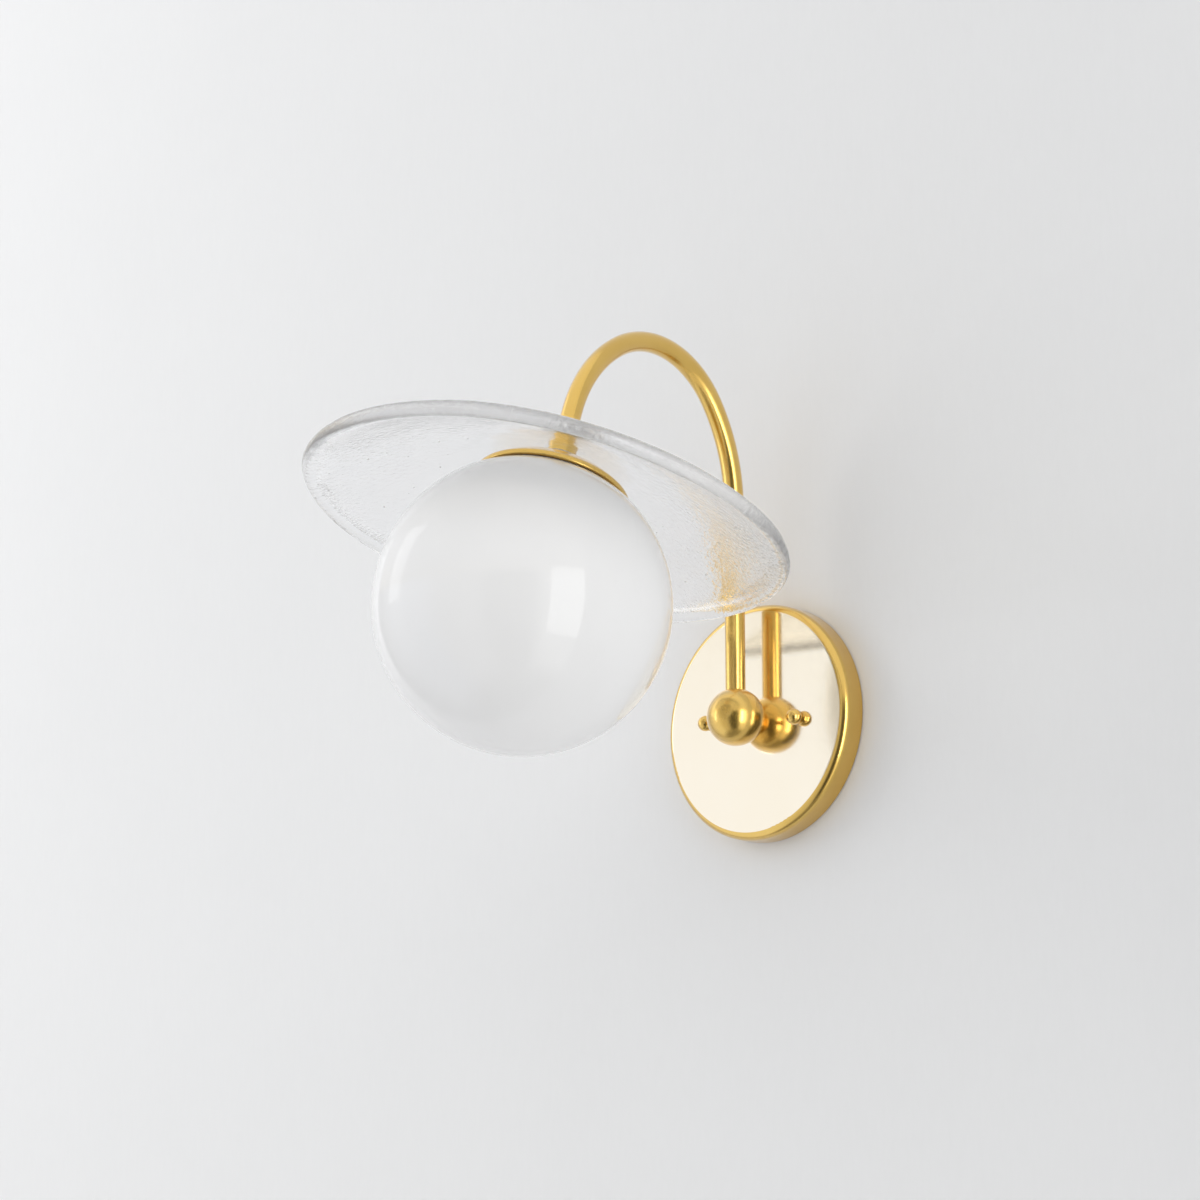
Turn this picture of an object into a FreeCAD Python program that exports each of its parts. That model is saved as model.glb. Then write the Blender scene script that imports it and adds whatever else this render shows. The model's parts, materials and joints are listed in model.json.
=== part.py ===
"""Wall sconce: a gooseneck arm on a round wall plate carries a brass cap, an opal glass globe
and a wide clear glass shade shaped like a shell, tilted outwards.

Millimetres. Origin: centre of the wall plate on the wall. +Z up, +X along the wall, +Y into the wall.
The head (cap, shade, globe, lamp) is drawn upright about its own axis, with its origin at the
centre of the globe, and then tilted and moved to the end of the arm.
"""
import FreeCAD, Part
import math
import os

V = FreeCAD.Vector
X, Y, Z = V(1, 0, 0), V(0, 1, 0), V(0, 0, 1)
ORIGIN = V(0, 0, 0)

# ---------------------------------------------------------------- clearances
running_gap = 0.05          # radial, screw thread or pin that turns in its hole
slip_gap = 0.3              # radial, parts that pass without touching
braze_gap = 0.02            # radial, soldered socket
cut_over = 1.0              # how far a cutting body runs past the face that it cuts
weld = 0.1                  # how far two shapes of one piece run into each other
near = 0.01                 # how close an edge lies to the plane that it is picked by

# ---------------------------------------------------------------- wall plate
plate_radius = 60.3
plate_depth = 13.2
plate_wall = 1.6
plate_shoulder = 4.3        # radius of the round front edge
plate_hole_gap = 0.3

# ---------------------------------------------------------------- mounting bar
bar_turn = -4.8             # degrees: the bar and its studs hang a little out of level
bar_length = 100.0
bar_width = 16.0
bar_thickness = 1.6
bar_end_flat = 1.0          # straight part of each round end
box_screw_circle = 88.9     # hole to hole, for a round ceiling or wall box
box_screw_hole = 2.2        # radius
bar_wire_hole = 5.6         # radius
ground_screw_place = 18.0   # along the bar
ground_screw_radius = 1.75
ground_head_radius = 3.4
ground_head_height = 1.9
ground_head_edge = 0.5
ground_slot = 0.8           # width and depth

# ---------------------------------------------------------------- studs and their ball nuts
stud_spacing = 60.0
stud_radius = 2.0
stud_end_gap = 0.5          # stud short of the nut's blind end
stud_nut_flats = 7.0
stud_nut_height = 3.0
ball_nut_radius = 4.0
ball_nut_foot_radius = 2.9
ball_nut_foot_height = 0.5
ball_nut_thread_depth = 5.2
nut_washer_radius = 3.3
nut_washer_thickness = 0.5

# ---------------------------------------------------------------- hub ball and its fixing
hub_radius = 14.6
hub_nipple_radius = 4.0
hub_nipple_bore = 2.9
hub_flat_margin = 0.2       # flat on the ball, past its thread
hub_thread_depth = 6.5
hub_washer_radius = 8.0
hub_washer_thickness = 0.8
ground_tag_radius = 6.8
ground_tag_thickness = 0.7
ground_tag_reach = 10.5
ground_tag_width = 4.0
hub_nut_flats = 12.0
hub_nut_height = 3.0
hub_nipple_spare = 0.6      # thread showing past the nut

# ---------------------------------------------------------------- arm
arm_radius = 5.1
arm_wall = 1.0
arm_socket_depth = 4.0      # into the hub ball
arm_rise = 109.4            # height where the straight rise ends and the bends start
rise_bend_radius = 90.0     # the arch is three bends in a row, each with its own radius
rise_bend_angle = 35.0
crown_bend_radius = 51.5
crown_bend_angle = 85.0
fall_bend_radius = 75.0
fall_bend_angle = 42.0
arm_drop = 107.9            # end of the last bend to the centre of the globe
collar_radius = 7.6
collar_height = 9.5
collar_web = 2.2            # brass between the tube's end and the shade
collar_edge = 0.8

# ---------------------------------------------------------------- globe
globe_radius = 72.0
globe_wall = 3.0
neck_radius = 19.0
neck_wall = 2.6
neck_length = 4.4
neck_seal_radius = 24.0
neck_seal_thickness = 0.9
neck_seal_lift = 0.15       # washer above the shoulder of the globe

# ---------------------------------------------------------------- cap
cap_radius = 38.5
cap_wall = 1.2
cap_side_height = 2.2
cap_neck_room = 2.26        # above the neck of the globe
cap_seat_radius = 13.2      # flat on the crown
cap_rim_clearance = 0.9     # radial, inside of the rim to the globe
cap_edge = 0.5
fitter_radius = 23.6

# ---------------------------------------------------------------- shade
shade_seal_radius = 10.5
shade_seal_thickness = 1.2
shade_thickness = 5.6       # at the clamp
shade_edge_thickness = 4.6  # next to the lip
shade_hole_radius = 5.4
shade_flat_margin = 7.0     # level part of the glass, past the seal
shade_dome_power = 1.5      # 1 is a cone, 2 a parabola
lip_radius = 3.8
lip_cage = 1.1              # how far the lip's control points stand out, in lip radii
rim_radius = 112.4          # centre line of the lip, mean
rim_height = 47.7           # centre line of the lip above the centre of the globe, mean
# The hand-formed rim is out of round and out of level: waves per turn, size, phase in degrees.
rim_radius_waves = ((1, 2.1, -84.0), (2, 3.1, 94.0), (3, 2.0, 162.0), (4, 1.4, 185.0))
rim_height_waves = ((1, 7.2, 129.0), (2, 0.9, 25.0), (3, 0.5, 50.0))
rim_sections = 24
# Where the control points of one section lie: shares of the flat, shares of the wall, turns of the lip.
shade_flat_shares = (0.06, 0.3, 0.52, 0.75, 1.0)
shade_wall_shares = (0.16, 0.34, 0.52, 0.70, 0.84, 0.93)
lip_turns = (105, 60, 15, -30, -75, -125)

# ---------------------------------------------------------------- lampholder and lamp
nipple_radius = 5.0
nipple_bore = 3.4
head_nut_flats = 14.0
head_nut_height = 3.0
bracket_thickness = 1.2
bracket_width = 13.0
bracket_leg = 11.0          # below the top of the lampholder
holder_radius = 10.0
holder_length = 22.0
holder_top_gap = 0.6        # under the nut
holder_wire_hole = 2.4
holder_wire_depth = 7.3
holder_screw_drop = 5.5     # below the top of the lampholder
holder_screw_radius = 1.5
holder_screw_head_radius = 2.6
holder_screw_head_height = 1.3
holder_screw_depth = 4.0
pin_spacing = 9.0
pin_width = 2.6
pin_thickness = 1.0
pin_length = 8.0
pin_gap = 0.3
lamp_base_width = 15.0
lamp_base_depth = 8.0
lamp_base_height = 9.0
lamp_base_corner = 1.5
lamp_base_gap = 0.4         # under the lampholder
lamp_radius = 7.0
lamp_length = 30.0
lamp_glass_wall = 1.0
lamp_tube_radius = 2.4

# ---------------------------------------------------------------- wiring
lead_radius = 1.8
lead_hub_radius = 5.0       # of the turn inside the hub ball
lead_exit_radius = 3.6      # of the turn behind the wall plate
lead_wall_gap = 0.4         # in front of the bar
lead_drop = 20.0            # sheath below the hub inside the wall plate
core_radius = 0.8
core_drop = 10.0
core_tuck = 6.0             # into the connector
connector_radius = 4.3
connector_tip_radius = 2.6
connector_length = 17.0
connector_edge = 0.8
connector_bore = 1.2
connector_bore_depth = 8.0
connector_spread = 9.0      # each side of the middle
connector_depth = 6.0       # in front of the wall

# ---------------------------------------------------------------- places that follow from the sizes
plate_inside = -(plate_depth - plate_wall)
plate_face = -plate_depth
hub_flat_sink = hub_radius - math.sqrt(hub_radius ** 2 - (hub_nipple_radius + hub_flat_margin) ** 2)
hub_y = plate_face - hub_radius + hub_flat_sink
bar_front = -bar_thickness
hub_washer_back = plate_inside + hub_washer_thickness
ground_tag_back = hub_washer_back + ground_tag_thickness
hub_nut_back = ground_tag_back + hub_nut_height
hub_nipple_end = hub_nut_back + hub_nipple_spare
hub_nipple_front = hub_y + hub_radius - hub_flat_sink - hub_thread_depth

arm_bends = ((rise_bend_radius, rise_bend_angle),
             (crown_bend_radius, crown_bend_angle),
             (fall_bend_radius, fall_bend_angle))
head_tilt = 180.0 - sum(angle for radius, angle in arm_bends)
arm_start = math.sqrt(hub_radius ** 2 - arm_radius ** 2) - arm_socket_depth

shoulder_height = math.sqrt(globe_radius ** 2 - neck_radius ** 2)
neck_top = shoulder_height + neck_length
cap_inner_radius = cap_radius - cap_wall
cap_rim_height = math.sqrt(globe_radius ** 2 - (cap_inner_radius - cap_rim_clearance) ** 2)
cap_side_top = cap_rim_height + cap_side_height
cap_inner_top = neck_top + cap_neck_room
cap_seat = cap_inner_top + cap_wall
# The crown is the sphere through the edge of the seat and the top of the side wall.
cap_crown_centre = (cap_seat ** 2 + cap_seat_radius ** 2 - cap_side_top ** 2 - cap_radius ** 2)
cap_crown_centre /= 2 * (cap_seat - cap_side_top)
cap_crown_radius = math.hypot(cap_radius, cap_side_top - cap_crown_centre)
fitter_bore = neck_radius + slip_gap
neck_seal_bottom = shoulder_height + neck_seal_lift
neck_seal_top = neck_seal_bottom + neck_seal_thickness
fitter_bottom = neck_seal_top + running_gap
shade_under = cap_seat + shade_seal_thickness
shade_top = shade_under + shade_thickness
shade_flat_radius = shade_seal_radius + shade_flat_margin
collar_bottom = shade_top + shade_seal_thickness
collar_top = collar_bottom + collar_height
arm_end = collar_bottom + collar_web
bracket_top = cap_inner_top
head_nut_top = bracket_top - bracket_thickness
nipple_bottom = head_nut_top - head_nut_height
holder_top = nipple_bottom - holder_top_gap
holder_bottom = holder_top - holder_length
holder_wire_end = holder_top - holder_wire_depth
holder_screw_height = holder_top - holder_screw_drop
lamp_base_top = holder_bottom - lamp_base_gap
lamp_glass_top = lamp_base_top - lamp_base_height
lamp_bottom = lamp_glass_top - lamp_length


# ---------------------------------------------------------------- small makers
def cylinder(radius, low, high, x=0.0, y=0.0):
    """Upright cylinder between two heights."""
    return Part.makeCylinder(radius, high - low, V(x, y, low), Z)


def wall_cylinder(radius, y_low, y_high, x=0.0, z=0.0):
    """Cylinder square to the wall, between two distances from it."""
    return Part.makeCylinder(radius, y_high - y_low, V(x, y_low, z), Y)


def hexagon(flats, height, base, direction):
    """Hexagonal prism with the given width across its flats."""
    corner = flats / math.sqrt(3)
    points = []
    for k in range(7):
        angle = math.radians(60 * k)
        points.append(V(corner * math.cos(angle), corner * math.sin(angle), 0))
    prism = Part.Face(Part.makePolygon(points)).extrude(V(0, 0, height))
    prism.Placement = FreeCAD.Placement(base, FreeCAD.Rotation(Z, direction))
    return prism


def round_edges(shape, direction, place):
    """Full circles of a shape whose centres lie at a place along a direction."""
    circles = [e for e in shape.Edges if len(e.Vertexes) == 1]
    return [e for e in circles if abs(e.CenterOfMass.dot(direction) - place) < near]


def edges_along(shape, direction):
    return [e for e in shape.Edges if e.tangentAt(e.FirstParameter).cross(direction).Length < near]


def circle_at(radius, centre, direction):
    return Part.Wire(Part.makeCircle(radius, centre, direction))


def arc_through(centre, start, turn_axis, angle):
    """Arc edge that starts at a point and turns about an axis through its centre."""
    arm = start - centre
    middle = centre + FreeCAD.Rotation(turn_axis, angle / 2).multVec(arm)
    end = centre + FreeCAD.Rotation(turn_axis, angle).multVec(arm)
    return Part.Arc(start, middle, end).toShape(), end


def swept(path, radius, start, direction):
    """Round rod along a path of tangent lines and arcs."""
    return Part.Wire(path).makePipeShell([circle_at(radius, start, direction)], True, False)


def wave(waves, angle):
    """Sum of a list of waves at an angle in degrees."""
    return sum(size * math.cos(math.radians(count * angle - phase)) for count, size, phase in waves)


def along_bar(shape):
    """Turns a shape about the plate's axis to the bar's slight lean."""
    shape.rotate(ORIGIN, Y, -bar_turn)
    return shape


def on_head(shape):
    """Tilts a shape from the head's own upright frame and moves it under the arm."""
    shape.rotate(ORIGIN, X, -head_tilt)
    shape.translate(globe_centre)
    return shape


def save(name, shape):
    shape = shape.removeSplitter() if len(shape.Solids) == 1 else shape
    if not shape.isValid():
        print("not valid:", name)
    shape.exportStep("parts/" + name + ".step")


# ---------------------------------------------------------------- the arm's centre line
def arm_path(offset_start):
    """Edges from the start height, through the bends, to the tube's end in the collar."""
    place = V(0, hub_y, offset_start)
    heading = V(Z)
    corner = V(0, hub_y, arm_rise)
    edges = [Part.LineSegment(place, corner).toShape()]
    place = corner
    for radius, angle in arm_bends:
        inward = X.cross(heading)
        centre = place + inward * radius
        edge, place = arc_through(centre, place, X, angle)
        heading = FreeCAD.Rotation(X, angle).multVec(heading)
        edges.append(edge)
    return edges, place, heading


bend_edges, bend_end, head_down = arm_path(arm_start)
globe_centre = bend_end + head_down * arm_drop
arm_end_place = bend_end + head_down * (arm_drop - arm_end)


# ---------------------------------------------------------------- wall plate and bar
def make_backplate():
    outer = wall_cylinder(plate_radius, plate_face, 0)
    outer = outer.makeFillet(plate_shoulder, round_edges(outer, Y, plate_face))
    inner = wall_cylinder(plate_radius - plate_wall, plate_inside, cut_over)
    inner = inner.makeFillet(plate_shoulder - plate_wall, round_edges(inner, Y, plate_inside))
    plate = outer.cut(inner)
    plate = plate.cut(wall_cylinder(hub_nipple_radius + plate_hole_gap, plate_face - cut_over, 0))
    for side in (-1, 1):
        hole = wall_cylinder(stud_radius + plate_hole_gap, plate_face - cut_over, 0, side * stud_spacing / 2)
        plate = plate.cut(along_bar(hole))
    return plate


def make_mounting_bar():
    half = bar_length / 2
    bar = Part.makeBox(bar_length, bar_thickness, bar_width, V(-half, bar_front, -bar_width / 2))
    bar = bar.makeFillet((bar_width - bar_end_flat) / 2, edges_along(bar, Y))
    holes = [(0.0, bar_wire_hole), (ground_screw_place, ground_screw_radius)]
    for side in (-1, 1):
        holes.append((side * box_screw_circle / 2, box_screw_hole))
        holes.append((side * stud_spacing / 2, stud_radius))
    for place, radius in holes:
        bar = bar.cut(wall_cylinder(radius, bar_front - cut_over, cut_over, place))
    return along_bar(bar)


def make_stud(side):
    stud_front = plate_face - nut_washer_thickness - ball_nut_thread_depth + stud_end_gap
    return along_bar(wall_cylinder(stud_radius, stud_front, 0, side * stud_spacing / 2))


def make_stud_nut(side):
    place = V(side * stud_spacing / 2, bar_front, 0)
    nut = hexagon(stud_nut_flats, stud_nut_height, place, V(0, -1, 0))
    bore = wall_cylinder(stud_radius, bar_front - stud_nut_height - cut_over, 0, side * stud_spacing / 2)
    return along_bar(nut.cut(bore))


def make_nut_washer(side):
    back = plate_face
    x = side * stud_spacing / 2
    washer = wall_cylinder(nut_washer_radius, back - nut_washer_thickness, back, x)
    return along_bar(washer.cut(wall_cylinder(stud_radius + running_gap, back - plate_depth, 0, x)))


def make_ball_nut(side):
    back = plate_face - nut_washer_thickness
    x = side * stud_spacing / 2
    sphere_y = back - ball_nut_foot_height - math.sqrt(ball_nut_radius ** 2 - ball_nut_foot_radius ** 2)
    nut = Part.makeSphere(ball_nut_radius, V(x, sphere_y, 0))
    nut = nut.cut(wall_cylinder(2 * ball_nut_radius, back - ball_nut_foot_height, 0, x))
    nut = nut.fuse(wall_cylinder(ball_nut_foot_radius, back - ball_nut_foot_height - weld, back, x))
    bore = wall_cylinder(stud_radius + running_gap, back - ball_nut_thread_depth, back + cut_over, x)
    return along_bar(nut.cut(bore))


def make_ground_screw():
    front = bar_front - ground_head_height
    shank = wall_cylinder(ground_screw_radius, bar_front, 0, ground_screw_place)
    head = wall_cylinder(ground_head_radius, front, bar_front, ground_screw_place)
    head = head.makeFillet(ground_head_edge, round_edges(head, Y, front))
    slot = Part.makeBox(2 * ground_head_radius, ground_slot, ground_slot,
                        V(ground_screw_place - ground_head_radius, front, -ground_slot / 2))
    return along_bar(shank.fuse(head).cut(slot))


# ---------------------------------------------------------------- hub ball and its fixing
def make_hub_ball():
    ball = Part.makeSphere(hub_radius, V(0, hub_y, 0))
    ball = ball.cut(wall_cylinder(2 * hub_radius, plate_face, 2 * hub_radius))
    ball = ball.cut(wall_cylinder(hub_nipple_radius, hub_nipple_front, 0))
    ball = ball.cut(wall_cylinder(hub_nipple_bore, hub_y, 0))
    ball = ball.cut(cylinder(arm_radius + braze_gap, arm_start, 2 * hub_radius, 0, hub_y))
    ball = ball.cut(cylinder(arm_radius - arm_wall, 0, arm_start + cut_over, 0, hub_y))
    return ball.cut(Part.makeSphere(arm_radius - arm_wall, V(0, hub_y, 0)))


def make_hub_nipple():
    nipple = wall_cylinder(hub_nipple_radius, hub_nipple_front, hub_nipple_end)
    return nipple.cut(wall_cylinder(hub_nipple_bore, hub_y, cut_over))


def make_hub_washer():
    washer = wall_cylinder(hub_washer_radius, plate_inside, hub_washer_back)
    return washer.cut(wall_cylinder(hub_nipple_radius + running_gap, plate_face, 0))


def make_ground_tag():
    tag = wall_cylinder(ground_tag_radius, hub_washer_back, ground_tag_back)
    tongue = Part.makeBox(ground_tag_reach, ground_tag_thickness, ground_tag_width,
                          V(0, hub_washer_back, -ground_tag_width / 2))
    tag = tag.fuse(tongue)
    return along_bar(tag.cut(wall_cylinder(hub_nipple_radius + running_gap, plate_face, 0)))


def make_hub_nut():
    nut = hexagon(hub_nut_flats, hub_nut_height, V(0, ground_tag_back, 0), Y)
    return nut.cut(wall_cylinder(hub_nipple_radius, plate_face, 0))


# ---------------------------------------------------------------- arm
def make_arm_tube():
    edges = bend_edges + [Part.LineSegment(bend_end, arm_end_place).toShape()]
    start = V(0, hub_y, arm_start)
    outer = swept(edges, arm_radius, start, Z)
    inner = swept(edges, arm_radius - arm_wall, start, Z)
    return outer.cut(inner)


def make_arm_collar():
    collar = cylinder(collar_radius, collar_bottom, collar_top)
    rims = round_edges(collar, Z, collar_bottom) + round_edges(collar, Z, collar_top)
    collar = collar.makeFillet(collar_edge, rims)
    collar = collar.cut(cylinder(arm_radius + braze_gap, arm_end, collar_top + cut_over))
    return on_head(collar.cut(cylinder(nipple_radius, collar_bottom - cut_over, arm_end + cut_over)))


# ---------------------------------------------------------------- shade and its seals
def shade_section(angle):
    """Control points (radius, height) of the glass wall at one angle round the shade."""
    lip_r = rim_radius + wave(rim_radius_waves, angle)
    lip_h = rim_height + wave(rim_height_waves, angle)
    middle = (shade_top + shade_under) / 2
    fall = middle - lip_h
    span = lip_r - shade_flat_radius
    cage = lip_cage * lip_radius

    def wall_point(share, side):
        r = shade_flat_radius + span * share
        h = middle - fall * share ** shade_dome_power
        slope = math.atan(fall * shade_dome_power * share ** (shade_dome_power - 1) / span)
        half = (shade_thickness + (shade_edge_thickness - shade_thickness) * share) / 2
        return r + side * half * math.sin(slope), h + side * half * math.cos(slope)

    flat = [shade_flat_radius * share for share in shade_flat_shares]
    points = [(r, shade_top) for r in flat]
    points += [wall_point(share, 1) for share in shade_wall_shares]
    for turn in lip_turns:
        a = math.radians(turn)
        points.append((lip_r + cage * math.cos(a), lip_h + cage * math.sin(a)))
    points += [wall_point(share, -1) for share in reversed(shade_wall_shares)]
    points += [(r, shade_under) for r in reversed(flat)]
    return points


def make_glass_shade():
    spread = 3 / (2 + math.cos(2 * math.pi / rim_sections))
    poles = []
    for k in range(rim_sections):
        angle = 360.0 * k / rim_sections
        c, s = math.cos(math.radians(angle)) * spread, math.sin(math.radians(angle)) * spread
        poles.append([V(r * c, r * s, h) for r, h in shade_section(angle)])
    across = len(poles[0])
    skin = Part.BSplineSurface()
    skin.buildFromPolesMultsKnots(poles, [1] * (rim_sections + 1), [1] * (across + 1),
                                  list(range(rim_sections + 1)), list(range(across + 1)),
                                  True, True, 3, 3)
    glass = Part.Solid(Part.Shell([skin.toShape()]))
    if glass.Volume < 0:
        glass.reverse()
    return on_head(glass.cut(cylinder(shade_hole_radius, shade_under - cut_over, shade_top + cut_over)))


def make_shade_seal(bottom):
    seal = cylinder(shade_seal_radius, bottom, bottom + shade_seal_thickness)
    return on_head(seal.cut(cylinder(nipple_radius + slip_gap, bottom - cut_over, bottom + 2 * cut_over)))


# ---------------------------------------------------------------- cap and what it holds
def dome(radius, crown_radius, low, high):
    """Cylinder with a spherical crown and a flat top."""
    ball = Part.makeSphere(crown_radius, V(0, 0, cap_crown_centre))
    return cylinder(radius, low, high).common(ball)


def make_cap():
    cap = dome(cap_radius, cap_crown_radius, cap_rim_height, cap_seat)
    cap = cap.makeFillet(cap_edge, round_edges(cap, Z, cap_side_top))
    hollow = dome(cap_inner_radius, cap_crown_radius - cap_wall, cap_rim_height - cut_over, cap_inner_top)
    cap = cap.cut(hollow)
    return on_head(cap.cut(cylinder(nipple_radius + slip_gap, cap_rim_height, cap_seat + cut_over)))


def make_fitter_ring():
    ring = dome(fitter_radius, cap_crown_radius - cap_wall, fitter_bottom, cap_inner_top)
    return on_head(ring.cut(cylinder(fitter_bore, cap_rim_height, cap_seat)))


def make_neck_seal():
    seal = cylinder(neck_seal_radius, neck_seal_bottom, neck_seal_top)
    return on_head(seal.cut(cylinder(fitter_bore, cap_rim_height, cap_seat)))


def make_globe():
    outside = Part.makeSphere(globe_radius)
    outside = outside.fuse(cylinder(neck_radius, 0, neck_top))
    inside = Part.makeSphere(globe_radius - globe_wall)
    inside = inside.fuse(cylinder(neck_radius - neck_wall, 0, neck_top + cut_over))
    return on_head(outside.cut(inside))


def make_head_nipple():
    nipple = cylinder(nipple_radius, nipple_bottom, arm_end)
    return on_head(nipple.cut(cylinder(nipple_bore, nipple_bottom - cut_over, arm_end + cut_over)))


def make_head_nut():
    nut = hexagon(head_nut_flats, head_nut_height, V(0, 0, nipple_bottom), Z)
    return on_head(nut.cut(cylinder(nipple_radius, nipple_bottom - cut_over, head_nut_top + cut_over)))


def make_bracket():
    """Strap under the cap, with a leg down each side of the lampholder."""
    outer = holder_radius + bracket_thickness
    leg_end = holder_top - bracket_leg
    strap = Part.makeBox(2 * outer, bracket_width, bracket_top - leg_end,
                         V(-outer, -bracket_width / 2, leg_end))
    room = Part.makeBox(2 * holder_radius, 2 * bracket_width, head_nut_top - leg_end + cut_over,
                        V(-holder_radius, -bracket_width, leg_end - cut_over))
    strap = strap.cut(room)
    strap = strap.cut(cylinder(nipple_radius + running_gap, leg_end, bracket_top + cut_over))
    for side in (-1, 1):
        strap = strap.cut(holder_screw_body(side, holder_screw_radius + running_gap, 0))
    return on_head(strap)


def holder_screw_body(side, radius, inner_reach):
    """Sideways rod where the screw passes the leg, ending short of or inside the lampholder."""
    start = holder_radius - inner_reach
    length = bracket_thickness + inner_reach + holder_screw_head_height
    return Part.makeCylinder(radius, length, V(side * start, 0, holder_screw_height), V(side, 0, 0))


def make_holder_screws():
    screws = []
    for side in (-1, 1):
        shank = holder_screw_body(side, holder_screw_radius, holder_screw_depth)
        face = V(side * (holder_radius + bracket_thickness), 0, holder_screw_height)
        head = Part.makeCylinder(holder_screw_head_radius, holder_screw_head_height, face, V(side, 0, 0))
        screws.append(on_head(shank.fuse(head).removeSplitter()))
    return Part.makeCompound(screws)


def make_lampholder():
    """Ceramic body with flats for the legs, a wire hole and two slots for the lamp's pins."""
    body = cylinder(holder_radius, holder_bottom, holder_top)
    body = body.cut(cylinder(holder_wire_hole, holder_wire_end, holder_top + cut_over))
    for side in (-1, 1):
        body = body.cut(holder_screw_body(side, holder_screw_radius, holder_screw_depth))
        slot = pin_box(side, pin_gap, holder_bottom - cut_over, lamp_base_top + pin_length + pin_gap)
        body = body.cut(slot)
    return on_head(body)


def pin_box(side, gap, low, high):
    width = pin_width + 2 * gap
    thick = pin_thickness + 2 * gap
    return Part.makeBox(thick, width, high - low, V(side * pin_spacing / 2 - thick / 2, -width / 2, low))


def make_lamp_pins():
    return Part.makeCompound([on_head(pin_box(side, 0, lamp_base_top, lamp_base_top + pin_length))
                              for side in (-1, 1)])


def make_lamp_base():
    base = Part.makeBox(lamp_base_width, lamp_base_depth, lamp_base_height,
                        V(-lamp_base_width / 2, -lamp_base_depth / 2, lamp_glass_top))
    return on_head(base.makeFillet(lamp_base_corner, edges_along(base, Z)))


def make_lamp_glass():
    """Round-ended glass capsule, open at the top where the base closes it."""
    def capsule(radius, low, high):
        body = cylinder(radius, low + radius, high)
        return body.fuse(Part.makeSphere(radius, V(0, 0, low + radius)))

    outside = capsule(lamp_radius, lamp_bottom, lamp_glass_top)
    inside = capsule(lamp_radius - lamp_glass_wall, lamp_bottom + lamp_glass_wall, lamp_glass_top + cut_over)
    return on_head(outside.cut(inside))


def make_lamp_element():
    """Light-giving rod inside the capsule, standing on the base."""
    low = lamp_bottom + lamp_radius
    return on_head(cylinder(lamp_tube_radius, low, lamp_glass_top))


# ---------------------------------------------------------------- wiring
def make_lamp_lead():
    """Sheathed lead from the lampholder up through the arm, round the hub and into the wall plate."""
    lead_top = globe_centre - head_down * holder_wire_end
    start = V(0, hub_y + lead_hub_radius, 0)
    exit_y = bar_front - lead_wall_gap - lead_radius
    exit_start = V(0, exit_y - lead_exit_radius, 0)
    hub_arc, hub_up = arc_through(start + Z * lead_hub_radius, start, X, -90)
    exit_arc, exit_down = arc_through(exit_start - Z * lead_exit_radius, exit_start, X, -90)
    tail = V(0, exit_y, -lead_drop)
    edges = [Part.LineSegment(tail, exit_down).toShape(),
             exit_arc,
             Part.LineSegment(exit_start, start).toShape(),
             hub_arc,
             Part.LineSegment(hub_up, V(0, hub_y, arm_rise)).toShape()]
    edges += bend_edges[1:]
    edges.append(Part.LineSegment(bend_end, lead_top).toShape())
    path = Part.Wire(Part.__sortEdges__(edges))
    lead = path.makePipeShell([circle_at(lead_radius, tail, Z)], True, False)
    print("lead: volume over section times length",
          round(lead.Volume / (math.pi * lead_radius ** 2 * path.Length), 5))
    return lead, tail


def s_bend(start, shift, drop, radius):
    """Wire that leaves straight down, shifts sideways and ends straight down again."""
    side = shift.Length
    half_turn = math.degrees(2 * math.atan(side / drop))
    bend = drop / (2 * math.sin(math.radians(half_turn)))
    way = V(shift)
    way.normalize()
    axis = way.cross(V(0, 0, -1))
    first, middle = arc_through(start + way * bend, start, axis, -half_turn)
    end = start + shift - Z * drop
    second, last = arc_through(end - way * bend, middle, axis, half_turn)
    tuck = Part.LineSegment(last, last - Z * core_tuck).toShape()
    return Part.Wire([first, second, tuck]).makePipeShell([circle_at(radius, start, Z)], True, False)


def make_wire(side, tail):
    start = tail + V(side * (lead_radius - core_radius), 0, 0)
    shift = V(side * connector_spread, -connector_depth, tail.z) - start
    shift.z = 0
    return s_bend(start, shift, core_drop, core_radius)


def make_connector(side, tail):
    top = tail.z - core_drop
    x, y = side * connector_spread, -connector_depth
    cone = Part.makeCone(connector_radius, connector_tip_radius, connector_length, V(x, y, top), V(0, 0, -1))
    edges = round_edges(cone, Z, top) + round_edges(cone, Z, top - connector_length)
    cone = cone.makeFillet(connector_edge, edges)
    return cone.cut(cylinder(connector_bore, top - connector_bore_depth, top + cut_over, x, y))


def make_ground_lead():
    """Bare wire from the tag under the hub nut to the screw on the bar."""
    y_start = hub_washer_back + ground_tag_thickness / 2
    start = V(ground_tag_reach, y_start, 0)
    y_end = bar_front - ground_head_height / 2
    run = ground_screw_place - ground_head_radius - ground_tag_reach
    side = y_end - y_start
    turn = 2 * math.atan(side / run)
    bend = run / (2 * math.sin(turn))
    first, middle = arc_through(start + Y * bend, start, Z, math.degrees(turn))
    end = start + V(run, side, 0)
    second, last = arc_through(end - Y * bend, middle, Z, -math.degrees(turn))
    wire = Part.Wire([first, second]).makePipeShell([circle_at(core_radius, start, X)], True, False)
    return along_bar(wire)


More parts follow.
